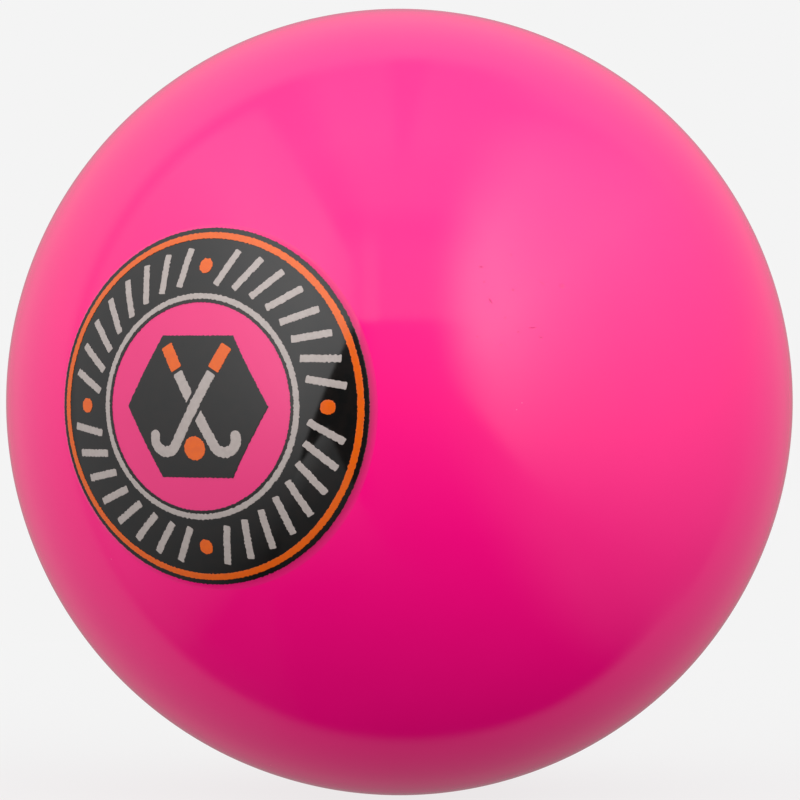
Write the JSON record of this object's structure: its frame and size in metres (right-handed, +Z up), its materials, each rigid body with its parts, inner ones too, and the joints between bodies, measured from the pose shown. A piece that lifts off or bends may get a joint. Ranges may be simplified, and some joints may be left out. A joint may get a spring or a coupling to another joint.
{
  "type": "field hockey ball",
  "caption": "Field hockey ball: a smooth, glossy sphere of bright pink moulded plastic with a round transfer badge printed in black, orange and silver on one side.",
  "frame": {"origin": "centre of the ball", "axes": "-Y points out through the middle of the badge, +Z is up and towards the badge's top, and +X is to the right of someone who faces the badge"},
  "size_m": [0.073, 0.0731, 0.073],
  "materials": {
    "pink_pvc": "polished",
    "clear_film": "polished",
    "black_ink": "polished",
    "orange_ink": "gloss",
    "silver_ink": "gloss"
  },
  "bodies": {
    "root": {"ball": "pink_pvc", "badge_film": "clear_film", "black_ink": "black_ink", "orange_ink": "orange_ink", "silver_ink": "silver_ink"}
  },
  "joints": []
}
